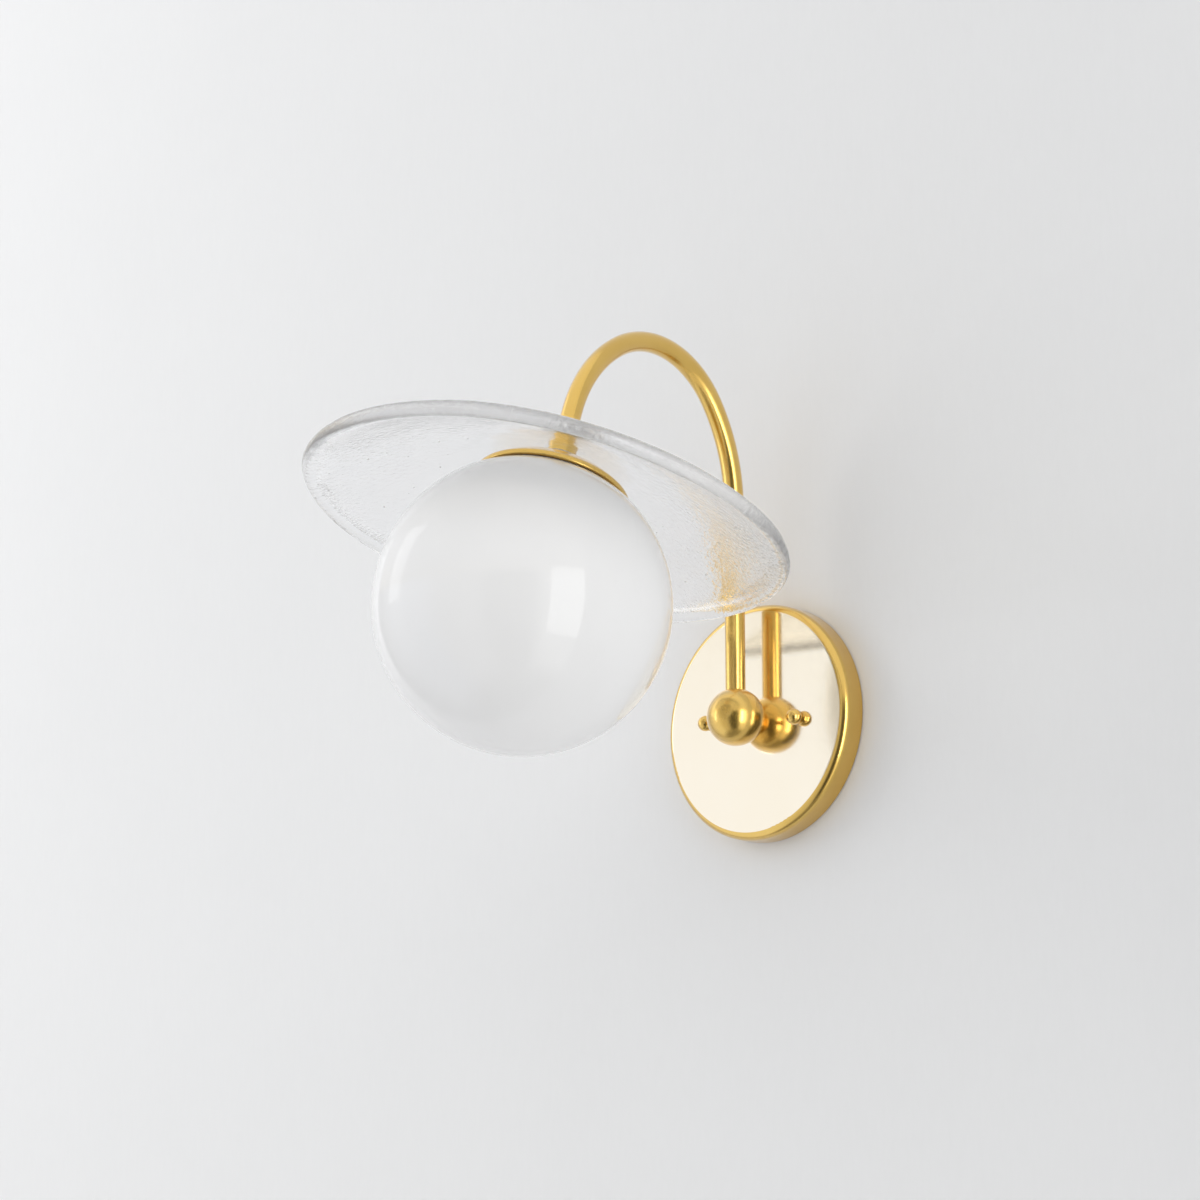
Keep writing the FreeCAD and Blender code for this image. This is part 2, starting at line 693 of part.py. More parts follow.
# ---------------------------------------------------------------- all pieces
def make_all():
    os.makedirs("parts", exist_ok=True)
    save("backplate", make_backplate())
    save("mounting_bar", make_mounting_bar())
    for side, name in ((-1, "left"), (1, "right")):
        save(name + "_stud", make_stud(side))
        save(name + "_stud_nut", make_stud_nut(side))
        save(name + "_nut_washer", make_nut_washer(side))
        save(name + "_ball_nut", make_ball_nut(side))
    save("ground_screw", make_ground_screw())
    save("ground_tag", make_ground_tag())
    save("ground_lead", make_ground_lead())
    save("hub_ball", make_hub_ball())
    save("hub_nipple", make_hub_nipple())
    save("hub_washer", make_hub_washer())
    save("hub_nut", make_hub_nut())
    save("arm_tube", make_arm_tube())
    save("arm_collar", make_arm_collar())
    save("shade_top_seal", make_shade_seal(shade_top))
    save("glass_shade", make_glass_shade())
    save("shade_bottom_seal", make_shade_seal(cap_seat))
    save("cap", make_cap())
    save("fitter_ring", make_fitter_ring())
    save("head_nipple", make_head_nipple())
    save("head_nut", make_head_nut())
    save("holder_bracket", make_bracket())
    save("holder_screws", make_holder_screws())
    save("lampholder", make_lampholder())
    save("neck_seal", make_neck_seal())
    save("opal_globe", make_globe())
    save("lamp_base", make_lamp_base())
    save("lamp_pins", make_lamp_pins())
    save("lamp_glass", make_lamp_glass())
    save("lamp_element", make_lamp_element())
    lead, tail = make_lamp_lead()
    save("lamp_lead", lead)
    for side, name in ((-1, "left"), (1, "right")):
        save(name + "_core", make_wire(side, tail))
        save(name + "_connector", make_connector(side, tail))


make_all()
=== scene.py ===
import json
import math
import random

import bpy
from mathutils import Matrix, Vector, noise


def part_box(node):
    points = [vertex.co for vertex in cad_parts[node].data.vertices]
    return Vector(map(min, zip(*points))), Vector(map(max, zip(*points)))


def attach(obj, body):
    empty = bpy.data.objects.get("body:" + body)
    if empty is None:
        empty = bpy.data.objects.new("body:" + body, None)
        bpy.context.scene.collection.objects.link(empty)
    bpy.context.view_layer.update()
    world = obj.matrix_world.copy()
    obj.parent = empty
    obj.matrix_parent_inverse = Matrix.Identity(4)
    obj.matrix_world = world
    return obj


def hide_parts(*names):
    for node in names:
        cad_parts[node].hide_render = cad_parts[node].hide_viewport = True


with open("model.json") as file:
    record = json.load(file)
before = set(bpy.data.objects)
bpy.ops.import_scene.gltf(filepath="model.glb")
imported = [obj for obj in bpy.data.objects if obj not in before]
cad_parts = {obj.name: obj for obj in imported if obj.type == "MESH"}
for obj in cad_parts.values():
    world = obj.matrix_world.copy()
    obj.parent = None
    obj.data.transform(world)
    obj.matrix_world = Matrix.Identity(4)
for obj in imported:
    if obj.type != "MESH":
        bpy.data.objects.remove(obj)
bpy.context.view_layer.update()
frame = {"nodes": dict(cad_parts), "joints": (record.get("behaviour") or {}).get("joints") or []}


# ---------------------------------------------------------------- mounting bar, studs and their nuts
# Pressed steel bar that is screwed to the wall box, with two threaded studs locked by thin nuts.
# Everything here is bright zinc plate over mild steel, with the faint crystal cloud that plating has.
def add_node(tree, kind, sockets=None, **settings):
    node = tree.nodes.new("ShaderNode" + kind)
    for key, value in settings.items():
        setattr(node, key, value)
    for key, value in (sockets or {}).items():
        node.inputs[key].default_value = value
    return node


def new_finish(name, **shader_sockets):
    """Material with one Principled shader, given back with its tree, its shader and Object coordinates."""
    finish = bpy.data.materials.new(name)
    finish.use_nodes = True
    tree = finish.node_tree
    shader = tree.nodes["Principled BSDF"]
    for key, value in shader_sockets.items():
        shader.inputs[key.replace("_", " ")].default_value = value
    place = add_node(tree, "TexCoord")
    return finish, tree, shader, place.outputs["Object"]


def stretch(tree, place, scale):
    """Object coordinates with another scale along each axis, for a grain that runs one way."""
    mapping = add_node(tree, "Mapping", {"Scale": scale})
    tree.links.new(place, mapping.inputs["Vector"])
    return mapping.outputs["Vector"]


noise_low, noise_high = 0.35, 0.65      # nearly all of the noise lies between these


def cloud(tree, place, size, detail=3.0, rough=0.55):
    """Noise whose patches are about `size` metres across, as a value from 0 to 1."""
    speckle = add_node(tree, "TexNoise", {"Scale": 1 / size, "Detail": detail, "Roughness": rough})
    tree.links.new(place, speckle.inputs["Vector"])
    return speckle.outputs["Fac"]


def blend_colours(tree, amount, first, second):
    ramp = add_node(tree, "ValToRGB")
    ramp.color_ramp.elements[0].position = noise_low
    ramp.color_ramp.elements[1].position = noise_high
    ramp.color_ramp.elements[0].color = (*first, 1)
    ramp.color_ramp.elements[1].color = (*second, 1)
    tree.links.new(amount, ramp.inputs["Fac"])
    return ramp.outputs["Color"]


def spread(tree, amount, low, high):
    """Maps the noise onto a range."""
    remap = add_node(tree, "MapRange", {"From Min": noise_low, "From Max": noise_high,
                                        "To Min": low, "To Max": high})
    tree.links.new(amount, remap.inputs["Value"])
    return remap.outputs["Result"]


def add_bump(tree, shader, height, depth):
    bump = add_node(tree, "Bump", {"Strength": 1.0, "Distance": depth})
    tree.links.new(height, bump.inputs["Height"])
    tree.links.new(bump.outputs["Normal"], shader.inputs["Normal"])


def dress(finish, *names):
    """Gives CAD nodes a finish in all their material slots."""
    for name in names:
        for place in frame["nodes"][name].material_slots:
            place.material = finish


def zinc_plate():
    finish, tree, shader, place = new_finish("zinc_plate", Metallic=1.0)
    crystals = cloud(tree, place, 0.0022, 5.0, 0.7)
    colour = blend_colours(tree, crystals, (0.50, 0.51, 0.53), (0.68, 0.68, 0.69))
    tree.links.new(colour, shader.inputs["Base Color"])
    tree.links.new(spread(tree, cloud(tree, place, 0.006), 0.24, 0.42), shader.inputs["Roughness"])
    add_bump(tree, shader, crystals, 0.00002)
    return finish


zinc = zinc_plate()
dress(zinc, "mounting_bar", "left_stud_nut", "right_stud_nut")


def clear_selection():
    if bpy.context.mode != "OBJECT":
        bpy.ops.object.mode_set(mode="OBJECT")
    bpy.ops.object.select_all(action="DESELECT")


def hold(piece):
    """Selects one piece alone and makes it active."""
    clear_selection()
    piece.select_set(True)
    bpy.context.view_layer.objects.active = piece


def settle(piece, smooth_angle):
    """Puts the piece's place into its mesh, closes it, turns its faces outwards and smooths it."""
    hold(piece)
    bpy.ops.object.transform_apply(location=True, rotation=True, scale=True)
    bpy.ops.object.mode_set(mode="EDIT")
    bpy.ops.mesh.select_all(action="SELECT")
    bpy.ops.mesh.remove_doubles(threshold=0.000002)
    bpy.ops.mesh.normals_make_consistent(inside=False)
    bpy.ops.object.mode_set(mode="OBJECT")
    bpy.ops.object.shade_smooth_by_angle(angle=math.radians(smooth_angle))


def finish_piece(piece, finish, slot, body, *nodes):
    piece.data.materials.clear()
    piece.data.materials.append(finish)
    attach(piece, body)
    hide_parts(*nodes)


thread_depth = 0.6              # share of the pitch
thread_sides = 20               # flats in one turn of the thread


def threaded_rod(name, radius, pitch, low, high, x, z):
    """Rod square to the wall with a rolled helical thread, cut flat at both ends."""
    root = radius - thread_depth * pitch
    clear_selection()
    bpy.ops.mesh.primitive_circle_add(vertices=3, radius=pitch, fill_type="NOTHING")
    rod = bpy.context.object
    rod.name = name
    start = low - 1.5 * pitch
    tooth = ((root, start), (radius, start + pitch / 2), (root, start + pitch))
    for corner, (r, y) in zip(rod.data.vertices, tooth):
        corner.co = (r, y, 0)
    bpy.ops.object.mode_set(mode="EDIT")
    bpy.ops.mesh.select_all(action="DESELECT")
    bpy.ops.object.mode_set(mode="OBJECT")
    for edge in rod.data.edges:
        edge.select = set(edge.vertices) == {0, 2}
    bpy.ops.object.mode_set(mode="EDIT")
    bpy.ops.mesh.select_mode(type="EDGE")
    bpy.ops.mesh.delete(type="EDGE")
    bpy.ops.object.mode_set(mode="OBJECT")
    turns = rod.modifiers.new("turns", "SCREW")
    turns.axis = "Y"
    turns.screw_offset = pitch
    turns.iterations = math.ceil((high - low) / pitch) + 3
    turns.steps = turns.render_steps = thread_sides
    turns.use_merge_vertices = True
    turns.merge_threshold = pitch / 100
    bpy.ops.object.modifier_apply(modifier=turns.name)
    for place, outward in ((low, -1), (high, 1)):
        bpy.ops.object.mode_set(mode="EDIT")
        bpy.ops.mesh.select_all(action="SELECT")
        bpy.ops.mesh.bisect(plane_co=(0, place, 0), plane_no=(0, outward, 0), use_fill=True, clear_outer=True)
        bpy.ops.object.mode_set(mode="OBJECT")
    rod.location = (x, 0, z)
    settle(rod, 50)
    return rod


stud_pitch = 0.0007
for stud_name in ("left_stud", "right_stud"):
    low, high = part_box(stud_name)
    middle = (low + high) / 2
    stud_radius = (high.x - low.x) / 2
    stud = threaded_rod(stud_name + "_thread", stud_radius, stud_pitch, low.y, high.y, middle.x, middle.z)
    finish_piece(stud, zinc, "zinc_steel", "fixture", stud_name)


# ---------------------------------------------------------------- ground screw, tag and wire
# Green-dyed steel screw in the bar, a steel tag under the hub nut and bare copper wire between them.
# The dye is thin, so the steel shines through it unevenly.
def green_dye():
    finish, tree, shader, place = new_finish("green_dye", Metallic=0.75)
    colour = blend_colours(tree, cloud(tree, place, 0.0012), (0.02, 0.16, 0.06), (0.06, 0.30, 0.12))
    tree.links.new(colour, shader.inputs["Base Color"])
    tree.links.new(spread(tree, cloud(tree, place, 0.002), 0.30, 0.46), shader.inputs["Roughness"])
    add_bump(tree, shader, cloud(tree, place, 0.0004), 0.00001)
    return finish


def bare_copper():
    finish, tree, shader, place = new_finish("bare_copper", Metallic=1.0)
    colour = blend_colours(tree, cloud(tree, place, 0.0015), (0.62, 0.26, 0.12), (0.82, 0.42, 0.25))
    tree.links.new(colour, shader.inputs["Base Color"])
    tree.links.new(spread(tree, cloud(tree, place, 0.003), 0.22, 0.40), shader.inputs["Roughness"])
    add_bump(tree, shader, cloud(tree, place, 0.0005), 0.00001)
    return finish


dress(green_dye(), "ground_screw")
dress(zinc, "ground_tag")
dress(bare_copper(), "ground_lead")


# ---------------------------------------------------------------- wall plate
# Spun brass dish, held against the wall by the ball nuts. Its flat front is buffed to a mirror, its
# round shoulder and its inside are satin, and the whole is lacquered.
satin_gold = (0.77, 0.487, 0.075)
deep_gold = (0.72, 0.44, 0.05)
# painted highlight: the flat front gets a paler colour than the brass, standing in for its washed-out
# reflection of the bright screen at the left
painted_highlight_gold = (0.92, 0.805, 0.60)
pale_painted_highlight_gold = (0.93, 0.82, 0.625)
flat_depth = 0.00003            # how far behind its foremost point the plate still counts as flat


def brass(name, low_rough, high_rough, grain=(1, 1, 1)):
    """Lacquered satin brass: fine grain in the polish, and a slow drift in its colour."""
    finish, tree, shader, place = new_finish(name, Metallic=1.0, Coat_Weight=1.0, Coat_Roughness=0.2,
                                             Coat_IOR=1.8)
    tone = blend_colours(tree, cloud(tree, place, 0.028, 4.0), deep_gold, satin_gold)
    tree.links.new(tone, shader.inputs["Base Color"])
    fine = cloud(tree, stretch(tree, place, grain), 0.0009, 4.0, 0.65)
    tree.links.new(spread(tree, fine, low_rough, high_rough), shader.inputs["Roughness"])
    add_bump(tree, shader, fine, 0.0000012)
    return finish, tree, shader, place


def plate_brass():
    """Mirror polish on the flat front, coloured paler there as a painted highlight, satin elsewhere, told
    apart by the depth from the wall.
    """
    finish, tree, shader, place = brass("plate_brass", 0.20, 0.225)
    front_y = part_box("backplate")[0].y
    axes = add_node(tree, "SeparateXYZ")
    tree.links.new(place, axes.inputs["Vector"])
    front = add_node(tree, "MapRange", {"From Min": front_y + flat_depth, "To Min": 1.0,
                                        "From Max": front_y + 2 * flat_depth, "To Max": 0.0})
    tree.links.new(axes.outputs["Y"], front.inputs["Value"])
    # painted highlight: the paler colour of the flat front, for its bright reflection
    painted_face_highlight = blend_colours(tree, cloud(tree, place, 0.05), painted_highlight_gold, pale_painted_highlight_gold)
    tone = shader.inputs["Base Color"].links[0].from_socket
    rough = shader.inputs["Roughness"].links[0].from_socket
    colour = add_node(tree, "Mix", data_type="RGBA")
    tree.links.new(front.outputs["Result"], colour.inputs["Factor"])
    tree.links.new(tone, colour.inputs[6])
    tree.links.new(painted_face_highlight, colour.inputs[7])
    tree.links.new(colour.outputs[2], shader.inputs["Base Color"])
    polish = spread(tree, cloud(tree, place, 0.004), 0.08, 0.11)
    shine = add_node(tree, "Mix", data_type="FLOAT")
    tree.links.new(front.outputs["Result"], shine.inputs["Factor"])
    tree.links.new(rough, shine.inputs[2])
    tree.links.new(polish, shine.inputs[3])
    tree.links.new(shine.outputs[0], shader.inputs["Roughness"])
    return finish


dress(plate_brass(), "backplate")


# ---------------------------------------------------------------- ball nuts and their washers
# Turned brass balls on a short foot, tapped for the studs, each over a thin brass washer.
# Screwed on by hand, they pull the plate against the wall.
turned_brass = brass("turned_brass", 0.22, 0.28, (0.4, 3.0, 0.4))[0]
dress(turned_brass, "left_ball_nut", "right_ball_nut", "left_nut_washer", "right_nut_washer")


# ---------------------------------------------------------------- hub ball and its fixing
# Solid turned ball, drilled for the arm and for a hollow steel thread that a washer and nut pull
# tight behind the plate.
dress(turned_brass, "hub_ball")
dress(zinc, "hub_washer", "hub_nut", "hub_nipple")


# ---------------------------------------------------------------- arm and its collar
# Bent brass tube, brazed into the hub ball below and into a turned collar above the glass.
# It is hollow for the lead, and is satin polished and lacquered like the turned pieces.
arm_brass = brass("arm_brass", 0.21, 0.26)[0]
dress(arm_brass, "arm_tube", "arm_collar")


# ---------------------------------------------------------------- seals
# Soft washers of milky clear silicone, stamped from sheet: one on each side of the glass, squeezed
# by the clamp, and one on the shoulder of the globe.
def clear_silicone():
    finish, tree, shader, place = new_finish("clear_silicone", Transmission_Weight=0.55, IOR=1.41)
    milk = blend_colours(tree, cloud(tree, place, 0.003), (0.86, 0.87, 0.86), (0.94, 0.94, 0.93))
    tree.links.new(milk, shader.inputs["Base Color"])
    tree.links.new(spread(tree, cloud(tree, place, 0.001), 0.28, 0.42), shader.inputs["Roughness"])
    return finish


dress(clear_silicone(), "shade_top_seal", "shade_bottom_seal", "neck_seal")


# ---------------------------------------------------------------- the glass shade
# The shell: thick clear glass, drawn out by hand into a shallow dome with a rounded, uneven lip.
# Its faces keep soft rings and pulls from the making, and small seeds of air are caught in the wall.
globe_joint = [joint for joint in frame["joints"] if joint["name"] == "globe_turn"][0]
globe_centre = Vector(globe_joint["pos_m"])
head_up = -Vector(globe_joint["axis"]).normalized()
head_side = Vector((1, 0, 0))
head_back = head_up.cross(head_side)
head_frame = Matrix((head_side, head_back, head_up)).transposed().to_4x4()
head_frame.translation = globe_centre

glass_under = 0.078508          # heights above the centre of the globe
glass_top = 0.084108
glass_hole = 0.0054
glass_edge_thickness = 0.0046
glass_flat = 0.0175             # radius of the level part under the clamp
dome_power = 1.5
lip_radius = 0.0038
lip_cage = 1.1 * lip_radius
rim_radius = 0.1124
rim_height = 0.0477
radius_waves = ((1, 0.0021, -84.0), (2, 0.0031, 94.0), (3, 0.0020, 162.0), (4, 0.0014, 185.0))
height_waves = ((1, 0.0072, 129.0), (2, 0.0009, 25.0), (3, 0.0005, 50.0))
rim_sections = 24
slow_pull = 0.00030             # depths of the marks of making in the faces
ring_pull = 0.00013
small_pull = 0.00007
slow_scale = 28                 # how close together they lie, in waves to a metre
ring_scale = 130
small_scale = 95
seed_count = 90
seed_radius = (0.00020, 0.00055)
seed_length = (1.0, 2.2)        # along the rim, as a share of the radius


def rim_wave(waves, angle):
    return sum(size * math.cos(math.radians(count * angle - phase)) for count, size, phase in waves)


def glass_wall(angle, share, side):
    """Radius and height of the wall: share 0 is at the level part and 1 at the lip, side 1 is on top."""
    lip_r = rim_radius + rim_wave(radius_waves, angle)
    lip_h = rim_height + rim_wave(height_waves, angle)
    middle = (glass_under + glass_top) / 2
    fall = middle - lip_h
    span = lip_r - glass_flat
    thickness = glass_top - glass_under
    slope = math.atan(fall * dome_power * share ** (dome_power - 1) / span)
    half = (thickness + (glass_edge_thickness - thickness) * share) / 2
    r = glass_flat + span * share + side * half * math.sin(slope)
    return r, middle - fall * share ** dome_power + side * half * math.cos(slope)


def glass_section(angle):
    flat = [glass_hole + (glass_flat - glass_hole) * k / 4 for k in range(5)]
    shares = (0.16, 0.34, 0.52, 0.70, 0.84, 0.93)
    lip_r = rim_radius + rim_wave(radius_waves, angle)
    lip_h = rim_height + rim_wave(height_waves, angle)
    points = [(r, glass_top) for r in flat]
    points += [glass_wall(angle, share, 1) for share in shares]
    # round the lip, in degrees up from straight outwards
    for turn in (105, 60, 15, -30, -75, -125):
        a = math.radians(turn)
        points.append((lip_r + lip_cage * math.cos(a), lip_h + lip_cage * math.sin(a)))
    points += [glass_wall(angle, share, -1) for share in reversed(shares)]
    return points + [(r, glass_under) for r in reversed(flat)]


def hand_pull(point, top):
    """How far the face stands out at a point in the head's frame: slow pulls, rings and small waves."""
    r = math.hypot(point.x, point.y)
    angle = math.atan2(point.y, point.x)
    free = min(1.0, max(0.0, (r - 0.018) / 0.02))
    shift = 0.3 if top else 0.0
    slow = noise.noise(Vector((point.x * slow_scale, point.y * slow_scale, shift)))
    rings = noise.noise(Vector((r * ring_scale + 1.5 * slow, math.cos(angle) * 2.2 + shift,
                                math.sin(angle) * 2.2)))
    small = noise.noise(Vector((point.x * small_scale, point.y * small_scale,
                                point.z * small_scale + shift)))
    return free * (slow_pull * slow + ring_pull * rings + small_pull * small)


def make_shade():
    sections = [glass_section(360 * k / rim_sections) for k in range(rim_sections)]
    across = len(sections[0])
    clear_selection()
    bpy.ops.mesh.primitive_torus_add(major_segments=rim_sections, minor_segments=across,
                                     major_radius=rim_radius / 2, minor_radius=rim_radius / 3)
    shade = bpy.context.object
    shade.name = "hand_formed_shade"
    # the rounding below draws a ring of so few sections inwards, and this factor makes up for it
    wide = 3 / (2 + math.cos(2 * math.pi / rim_sections))
    for index, corner in enumerate(shade.data.vertices):
        turn, step = divmod(index, across)
        angle = 2 * math.pi * turn / rim_sections
        r, h = sections[turn][step]
        corner.co = (r * wide * math.cos(angle), r * wide * math.sin(angle), h)
    bpy.ops.object.mode_set(mode="EDIT")
    bpy.ops.mesh.select_all(action="SELECT")
    bpy.ops.mesh.normals_make_consistent(inside=False)
    bpy.ops.object.mode_set(mode="OBJECT")
    round_off = shade.modifiers.new("round_off", "SUBSURF")
    round_off.levels = round_off.render_levels = 3
    bpy.ops.object.modifier_apply(modifier=round_off.name)
    normals = [vertex.normal.copy() for vertex in shade.data.vertices]
    for vertex, outward in zip(shade.data.vertices, normals):
        vertex.co += outward * hand_pull(vertex.co, outward.z > 0)
    bpy.ops.object.shade_smooth()
    return shade


def seed_glass(shade, count):
    """Small air bubbles in the wall, drawn out a little along the rim."""
    draw = random.Random(11)
    seeds = []
    clear_selection()
    bpy.ops.mesh.primitive_ico_sphere_add(subdivisions=2, radius=1.0)
    pattern = bpy.context.object
    bpy.ops.object.mode_set(mode="EDIT")
    bpy.ops.mesh.select_all(action="SELECT")
    bpy.ops.mesh.flip_normals()
    bpy.ops.object.mode_set(mode="OBJECT")
    bpy.ops.object.shade_smooth()
    for k in range(count):
        angle = draw.uniform(0, 360)
        share = draw.uniform(0.3, 0.97)
        under = glass_wall(angle, share, -1)
        over = glass_wall(angle, share, 1)
        depth = draw.uniform(0.35, 0.65)
        r = under[0] + (over[0] - under[0]) * depth
        h = under[1] + (over[1] - under[1]) * depth
        size = draw.uniform(*seed_radius)
        seed = pattern.copy()
        seed.data = pattern.data.copy()
        bpy.context.collection.objects.link(seed)
        turn = math.radians(angle)
        seed.matrix_world = (Matrix.Translation((r * math.cos(turn), r * math.sin(turn), h))
                             @ Matrix.Rotation(turn, 4, "Z")
                             @ Matrix.Diagonal((size, size * draw.uniform(*seed_length), size * 0.8, 1)))
        seeds.append(seed)
    hold(shade)
    for seed in seeds:
        seed.select_set(True)
    bpy.ops.object.join()
    bpy.data.objects.remove(pattern)
    shade.matrix_world = head_frame
    bpy.context.view_layer.update()
    bpy.ops.object.transform_apply(location=True, rotation=True, scale=True)


def shade_glass():
    finish, tree, shader, place = new_finish("shade_glass", Transmission_Weight=1.0, IOR=1.50)
    tint = blend_colours(tree, cloud(tree, place, 0.04), (0.975, 0.98, 0.985), (0.99, 0.99, 0.995))
    tree.links.new(tint, shader.inputs["Base Color"])
    tree.links.new(spread(tree, cloud(tree, place, 0.01), 0.0, 0.03), shader.inputs["Roughness"])
    # soft hammering, deeper towards the lip and towards +X
    from_axis = add_node(tree, "VectorMath", {1: globe_centre}, operation="SUBTRACT")
    tree.links.new(place, from_axis.inputs[0])
    around = add_node(tree, "VectorMath", {1: head_up}, operation="CROSS_PRODUCT")
    tree.links.new(from_axis.outputs[0], around.inputs[0])
    radius = add_node(tree, "VectorMath", operation="LENGTH")
    tree.links.new(around.outputs[0], radius.inputs[0])
    depth = add_node(tree, "MapRange", {"From Min": 0.04, "From Max": 0.09, "To Min": 0.2, "To Max": 1.0})
    tree.links.new(radius.outputs["Value"], depth.inputs["Value"])
    sides = add_node(tree, "SeparateXYZ")
    tree.links.new(place, sides.inputs["Vector"])
    one_side = add_node(tree, "MapRange", {"From Min": -0.04, "From Max": 0.05, "To Min": 0.5, "To Max": 1.0})
    tree.links.new(sides.outputs["X"], one_side.inputs["Value"])
    uneven = add_node(tree, "Math", operation="MULTIPLY")
    tree.links.new(depth.outputs["Result"], uneven.inputs[0])
    tree.links.new(one_side.outputs["Result"], uneven.inputs[1])
    hammered = add_node(tree, "Math", operation="MULTIPLY")
    tree.links.new(cloud(tree, place, 0.0026, 3.0, 0.6), hammered.inputs[0])
    tree.links.new(uneven.outputs[0], hammered.inputs[1])
    add_bump(tree, shader, hammered.outputs[0], 0.0004)
    return finish


shade = make_shade()
seed_glass(shade, seed_count)
finish_piece(shade, shade_glass(), "clear_glass", "fixture", "glass_shade")


# ---------------------------------------------------------------- cap and what it carries
# Spun brass cap: a shallow dome with a short side, its edge rolled in to lie just off the globe.
# In it a brazed ring takes the neck of the globe. The hollow steel thread, its nut, the strap and its
# screws hold the ceramic lampholder.
globe_radius = 0.072
cap_radius = 0.0385
cap_wall = 0.0012
cap_hole = 0.0053
cap_seat_radius = 0.0132        # level part under the clamp
cap_seat_height = 0.0773        # above the centre of the globe
cap_side_top = 0.0643
cap_bead_radius = 0.00063       # of the rolled edge
cap_bead_height = 0.0627
cap_lip_gap = 0.00015           # from the rolled edge to the globe
cap_sides = 144


def spun_cap():
    """The cap's section, turned round the axis of the head."""
    drop = cap_seat_height - cap_side_top
    crown_centre = (cap_seat_height ** 2 + cap_seat_radius ** 2
                    - cap_side_top ** 2 - cap_radius ** 2) / (2 * drop)
    crown_radius = math.hypot(cap_radius, cap_side_top - crown_centre)
    start = math.asin(cap_seat_radius / crown_radius)
    end = math.asin(cap_radius / crown_radius)

    def crown(radius, stop):
        """Arc of the dome from the level seat outwards."""
        turns = [start + (stop - start) * k / 20 for k in range(21)]
        return [(radius * math.sin(a), crown_centre + radius * math.cos(a)) for a in turns]

    bead_middle = cap_radius - cap_bead_radius
    bead_foot = cap_bead_height - cap_bead_radius
    tip = math.sqrt(globe_radius ** 2 - bead_foot ** 2) + cap_lip_gap
    # the dome stops a little short of the side, to leave a small round between them
    outside = [(cap_hole, cap_seat_height)] + crown(crown_radius, end - 0.008)
    outside += [(cap_radius - 0.00004, cap_side_top - 0.0002), (cap_radius, cap_side_top - 0.0006)]
    quarter = [math.radians(-15 * k) for k in range(7)]
    rolled = [(bead_middle + cap_bead_radius * math.cos(a), cap_bead_height + cap_bead_radius * math.sin(a))
              for a in quarter]
    rolled += [(tip + 0.0002, bead_foot), (tip, cap_bead_height - 0.6 * cap_bead_radius),
               (tip + 0.0002, cap_bead_height), (cap_radius - cap_wall, cap_bead_height + 0.0004)]
    inside_radius = crown_radius - cap_wall
    inside = crown(inside_radius, math.asin((cap_radius - cap_wall) / inside_radius))
    profile = outside + rolled + inside[::-1] + [(cap_hole, inside[0][1])]
    clear_selection()
    bpy.ops.mesh.primitive_circle_add(vertices=len(profile), radius=cap_radius, fill_type="NOTHING")
    cap = bpy.context.object
    cap.name = "spun_cap"
    for corner, (r, h) in zip(cap.data.vertices, profile):
        corner.co = (r, 0, h)
    turned = cap.modifiers.new("turned", "SCREW")
    turned.axis = "Z"
    turned.steps = turned.render_steps = cap_sides
    turned.use_merge_vertices = True
    turned.merge_threshold = 0.000001
    bpy.ops.object.modifier_apply(modifier=turned.name)
    cap.matrix_world = head_frame
    bpy.context.view_layer.update()
    settle(cap, 30)
    return cap


cap = spun_cap()
finish_piece(cap, arm_brass, "satin_brass", "fixture", "cap")
dress(arm_brass, "fitter_ring")
dress(zinc, "head_nipple", "head_nut", "holder_bracket", "holder_screws")


def glazed_ceramic():
    finish, tree, shader, place = new_finish("glazed_ceramic", Coat_Weight=0.6, Coat_Roughness=0.08)
    body = blend_colours(tree, cloud(tree, place, 0.0015, 6.0), (0.76, 0.75, 0.71), (0.86, 0.85, 0.82))
    tree.links.new(body, shader.inputs["Base Color"])
    tree.links.new(spread(tree, cloud(tree, place, 0.002), 0.38, 0.55), shader.inputs["Roughness"])
    add_bump(tree, shader, cloud(tree, place, 0.0008), 0.00003)
    return finish


ceramic = glazed_ceramic()
dress(ceramic, "lampholder")


# ---------------------------------------------------------------- the opal globe
# Globe of white opal glass under a clear skin, blown in a mould and fire-polished.
# It is screwed into the ring in the cap by the thread on its neck.
def opal():
    finish, tree, shader, place = new_finish("opal_glass", Coat_Weight=0.2, Coat_Roughness=0.015,
                                             Coat_IOR=1.52, Subsurface_Weight=0.15, Subsurface_Scale=0.002,
                                             Subsurface_Radius=(1, 1, 1))
    milk = blend_colours(tree, cloud(tree, place, 0.06, 2.0), (0.935, 0.935, 0.935), (0.95, 0.95, 0.95))
    tree.links.new(milk, shader.inputs["Base Color"])
    tree.links.new(spread(tree, cloud(tree, place, 0.02), 0.02, 0.05), shader.inputs["Roughness"])
    add_bump(tree, shader, cloud(tree, place, 0.035, 2.0), 0.00010)
    return finish


dress(opal(), "opal_globe")


# ---------------------------------------------------------------- the lamp
# Two-pin capsule lamp: ceramic base, steel pins, clear glass capsule and a rod of yellow phosphor.
# Its pins push into the lampholder.
def lamp_glass():
    finish, tree, shader, place = new_finish("lamp_glass", Transmission_Weight=1.0, IOR=1.47)
    tint = blend_colours(tree, cloud(tree, place, 0.01), (0.97, 0.98, 0.98), (0.99, 0.99, 0.99))
    tree.links.new(tint, shader.inputs["Base Color"])
    tree.links.new(spread(tree, cloud(tree, place, 0.004), 0.0, 0.03), shader.inputs["Roughness"])
    return finish


